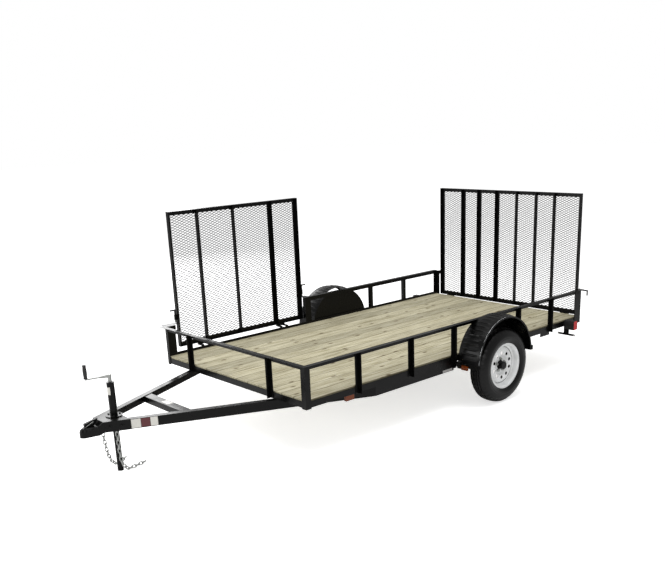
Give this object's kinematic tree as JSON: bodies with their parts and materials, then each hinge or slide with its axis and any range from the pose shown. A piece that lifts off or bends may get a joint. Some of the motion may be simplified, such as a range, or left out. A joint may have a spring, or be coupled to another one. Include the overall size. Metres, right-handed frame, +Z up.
{
  "type": "utility trailer",
  "caption": "Single-axle utility trailer with angle-iron rails, plank deck, rear and side ramp gates, fenders, A-frame tongue, ball coupler and tongue jack.",
  "frame": {"origin": "on the ground, midway between the coupler's nose and the closed rear gate, and between the outermost points left and right", "axes": "+X forward to the coupler, +Y to the trailer's left, +Z up"},
  "size_m": [5.071, 2.426, 1.774],
  "materials": {
    "black_paint": "gloss",
    "white_paint": "gloss",
    "zinc": "satin",
    "mesh_steel": "satin",
    "treated_wood": "matte",
    "tyre_rubber": "matte",
    "black_plastic": "matte",
    "red_lens": "gloss",
    "amber_lens": "gloss"
  },
  "bodies": {
    "chassis": {"side_rail_left": "black_paint", "side_rail_right": "black_paint", "front_rail": "black_paint", "rear_rail": "black_paint", "cross_members": "black_paint", "top_rail_left": "black_paint", "top_rail_right": "black_paint", "top_rail_front": "black_paint", "corner_posts": "black_paint", "gate_post": "black_paint", "uprights_left": "black_paint", "uprights_right": "black_paint", "uprights_front": "black_paint", "rail_plates": "black_paint", "tongue_left": "black_paint", "tongue_right": "black_paint", "tongue_brace": "black_paint", "coupler": "black_paint", "jack_tube": "black_paint", "axle": "black_paint", "axle_clamps": "black_paint", "spring_left": "black_paint", "spring_right": "black_paint", "spring_hangers": "black_paint", "fender_left": "black_paint", "fender_right": "black_paint", "fender_brackets": "black_paint", "rear_gate_hinges": "black_paint", "rear_gate_pins": "black_paint", "side_gate_hinges": "black_paint", "side_gate_catches": "black_paint", "plate_bracket": "black_paint", "deck_boards": "treated_wood", "coupler_latch": "black_paint", "jack_crank": "zinc", "chain_left": "zinc", "chain_right": "zinc", "crank_grip": "black_plastic", "tail_lamps": "black_plastic", "tail_lenses": "red_lens", "marker_lamps": "amber_lens"},
    "wheel_left": {"hub_left": "black_paint", "rim_left": "white_paint", "tyre_left": "tyre_rubber"},
    "wheel_right": {"hub_right": "black_paint", "rim_right": "white_paint", "tyre_right": "tyre_rubber"},
    "rear_gate": {"rear_gate_frame": "black_paint", "rear_gate_mesh": "mesh_steel"},
    "side_gate": {"side_gate_frame": "black_paint", "side_gate_mesh": "mesh_steel", "side_gate_pins": "black_paint"},
    "jack_foot": {"jack_leg": "black_paint"}
  },
  "joints": [
    {"name": "left_wheel_spin", "type": "hinge", "parent": "chassis", "child": "wheel_left", "pos_m": [-0.9605, 1.113, 0.338], "axis": [0, 1, 0], "continuous": true},
    {"name": "right_wheel_spin", "type": "hinge", "parent": "chassis", "child": "wheel_right", "pos_m": [-0.9605, -1.113, 0.338], "axis": [0, 1, 0], "continuous": true},
    {"name": "rear_gate_hinge", "type": "hinge", "parent": "chassis", "child": "rear_gate", "pos_m": [-2.5145, 0, 0.483], "axis": [0, -1, 0], "range_deg": [0, 111]},
    {"name": "side_gate_hinge", "type": "hinge", "parent": "chassis", "child": "side_gate", "pos_m": [0.286, -1.0325, 0.532], "axis": [1, 0, 0], "range_deg": [0, 113]},
    {"name": "jack_lift", "type": "slide", "parent": "chassis", "child": "jack_foot", "axis": [0, 0, 1], "range_m": [0, 0.25]}
  ]
}
